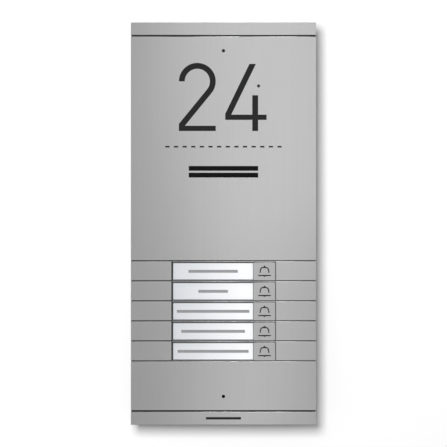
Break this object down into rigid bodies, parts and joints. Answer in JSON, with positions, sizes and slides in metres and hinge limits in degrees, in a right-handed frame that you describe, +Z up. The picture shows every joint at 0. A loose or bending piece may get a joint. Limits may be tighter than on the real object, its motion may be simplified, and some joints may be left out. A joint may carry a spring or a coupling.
{
  "type": "door intercom panel",
  "caption": "Surface-mounted stainless door intercom panel with cut-out house number, speaker slots, and call rows with name windows and bell buttons.",
  "frame": {"origin": "centre of the back box's wall face, which is also the panel's centre in width and height", "axes": "+Z up the panel, +X to the right seen from the front, +Y into the wall, so the front faces -Y"},
  "size_m": [0.185, 0.03, 0.402],
  "materials": {
    "front_steel": "fine vertical grain, satin, with polished edges",
    "button_steel": "fine satin with a black filled bell symbol",
    "frame_metal": "die cast, satin on its front edges and black inside",
    "window_clear": "clear polished acrylic",
    "label_card": "matt white card",
    "number_black": "black acrylic, satin gloss",
    "speaker_cloth": "black acoustic cloth",
    "black_rubber": "matt",
    "speaker_metal": "black lacquered steel",
    "speaker_paper": "matt black treated paper",
    "speaker_ferrite": "dark grey ferrite",
    "capsule_metal": "satin can with a dark felt disc on its front",
    "carrier_plastic": "moulded, fine texture",
    "circuit_board": "green solder mask",
    "terminal_plastic": "moulded green",
    "switch_black": "moulded black",
    "lead_grey": "smooth grey cable sheath",
    "box_metal": "silver-grey powder coat on folded steel",
    "screw_steel": "dark oxidised steel",
    "screw_black": "black zinc plated, matt"
  },
  "bodies": {
    "panel": {"top_end_strip": "front_steel", "upper_faceplate": "front_steel", "lower_faceplate": "front_steel", "bottom_end_strip": "front_steel", "blank_left_1": "front_steel", "blank_right_1": "front_steel", "call_frame_1": "frame_metal", "name_label_1": "label_card", "key_switch_1": "switch_black", "blank_left_2": "front_steel", "blank_right_2": "front_steel", "call_frame_2": "frame_metal", "name_label_2": "label_card", "key_switch_2": "switch_black", "blank_left_3": "front_steel", "blank_right_3": "front_steel", "call_frame_3": "frame_metal", "name_label_3": "label_card", "key_switch_3": "switch_black", "blank_left_4": "front_steel", "blank_right_4": "front_steel", "call_frame_4": "frame_metal", "name_label_4": "label_card", "key_switch_4": "switch_black", "blank_left_5": "front_steel", "blank_right_5": "front_steel", "call_frame_5": "frame_metal", "name_label_5": "label_card", "key_switch_5": "switch_black", "number_backing": "number_black", "speaker_mesh": "speaker_cloth", "speaker_seal": "black_rubber", "speaker_basket": "speaker_metal", "speaker_cone": "speaker_paper", "speaker_magnet": "speaker_ferrite", "microphone": "capsule_metal", "microphone_boot": "black_rubber", "carrier_frame": "carrier_plastic", "key_board": "circuit_board", "main_board": "circuit_board", "terminal_block": "terminal_plastic", "speaker_lead": "lead_grey", "microphone_lead": "lead_grey", "key_ribbon": "lead_grey", "box_gasket": "black_rubber", "back_box": "box_metal", "cable_grommet": "black_rubber", "front_screw_top": "screw_steel", "front_screw_bottom": "screw_black"},
    "window_1": {"name_window_1": "window_clear"},
    "button_1": {"call_button_1": "button_steel"},
    "window_2": {"name_window_2": "window_clear"},
    "button_2": {"call_button_2": "button_steel"},
    "window_3": {"name_window_3": "window_clear"},
    "button_3": {"call_button_3": "button_steel"},
    "window_4": {"name_window_4": "window_clear"},
    "button_4": {"call_button_4": "button_steel"},
    "window_5": {"name_window_5": "window_clear"},
    "button_5": {"call_button_5": "button_steel"}
  },
  "joints": [
    {"name": "window_1_swing", "type": "hinge", "parent": "panel", "child": "window_1", "pos_m": [0.0288, -0.0286, -0.04715], "axis": [0, 0, 1], "range_deg": [0, 60]},
    {"name": "window_2_swing", "type": "hinge", "parent": "panel", "child": "window_2", "pos_m": [0.0288, -0.0286, -0.06715], "axis": [0, 0, 1], "range_deg": [0, 60]},
    {"name": "window_3_swing", "type": "hinge", "parent": "panel", "child": "window_3", "pos_m": [0.0288, -0.0286, -0.08715], "axis": [0, 0, 1], "range_deg": [0, 60]},
    {"name": "window_4_swing", "type": "hinge", "parent": "panel", "child": "window_4", "pos_m": [0.0288, -0.0286, -0.10715], "axis": [0, 0, 1], "range_deg": [0, 60]},
    {"name": "window_5_swing", "type": "hinge", "parent": "panel", "child": "window_5", "pos_m": [0.0288, -0.0286, -0.12715], "axis": [0, 0, 1], "range_deg": [0, 60]},
    {"name": "button_1_press", "type": "slide", "parent": "panel", "child": "button_1", "axis": [0, 1, 0], "range_m": [0, 0.0012], "stiffness_N_per_m": 2000},
    {"name": "button_2_press", "type": "slide", "parent": "panel", "child": "button_2", "axis": [0, 1, 0], "range_m": [0, 0.0012], "stiffness_N_per_m": 2000},
    {"name": "button_3_press", "type": "slide", "parent": "panel", "child": "button_3", "axis": [0, 1, 0], "range_m": [0, 0.0012], "stiffness_N_per_m": 2000},
    {"name": "button_4_press", "type": "slide", "parent": "panel", "child": "button_4", "axis": [0, 1, 0], "range_m": [0, 0.0012], "stiffness_N_per_m": 2000},
    {"name": "button_5_press", "type": "slide", "parent": "panel", "child": "button_5", "axis": [0, 1, 0], "range_m": [0, 0.0012], "stiffness_N_per_m": 2000}
  ]
}
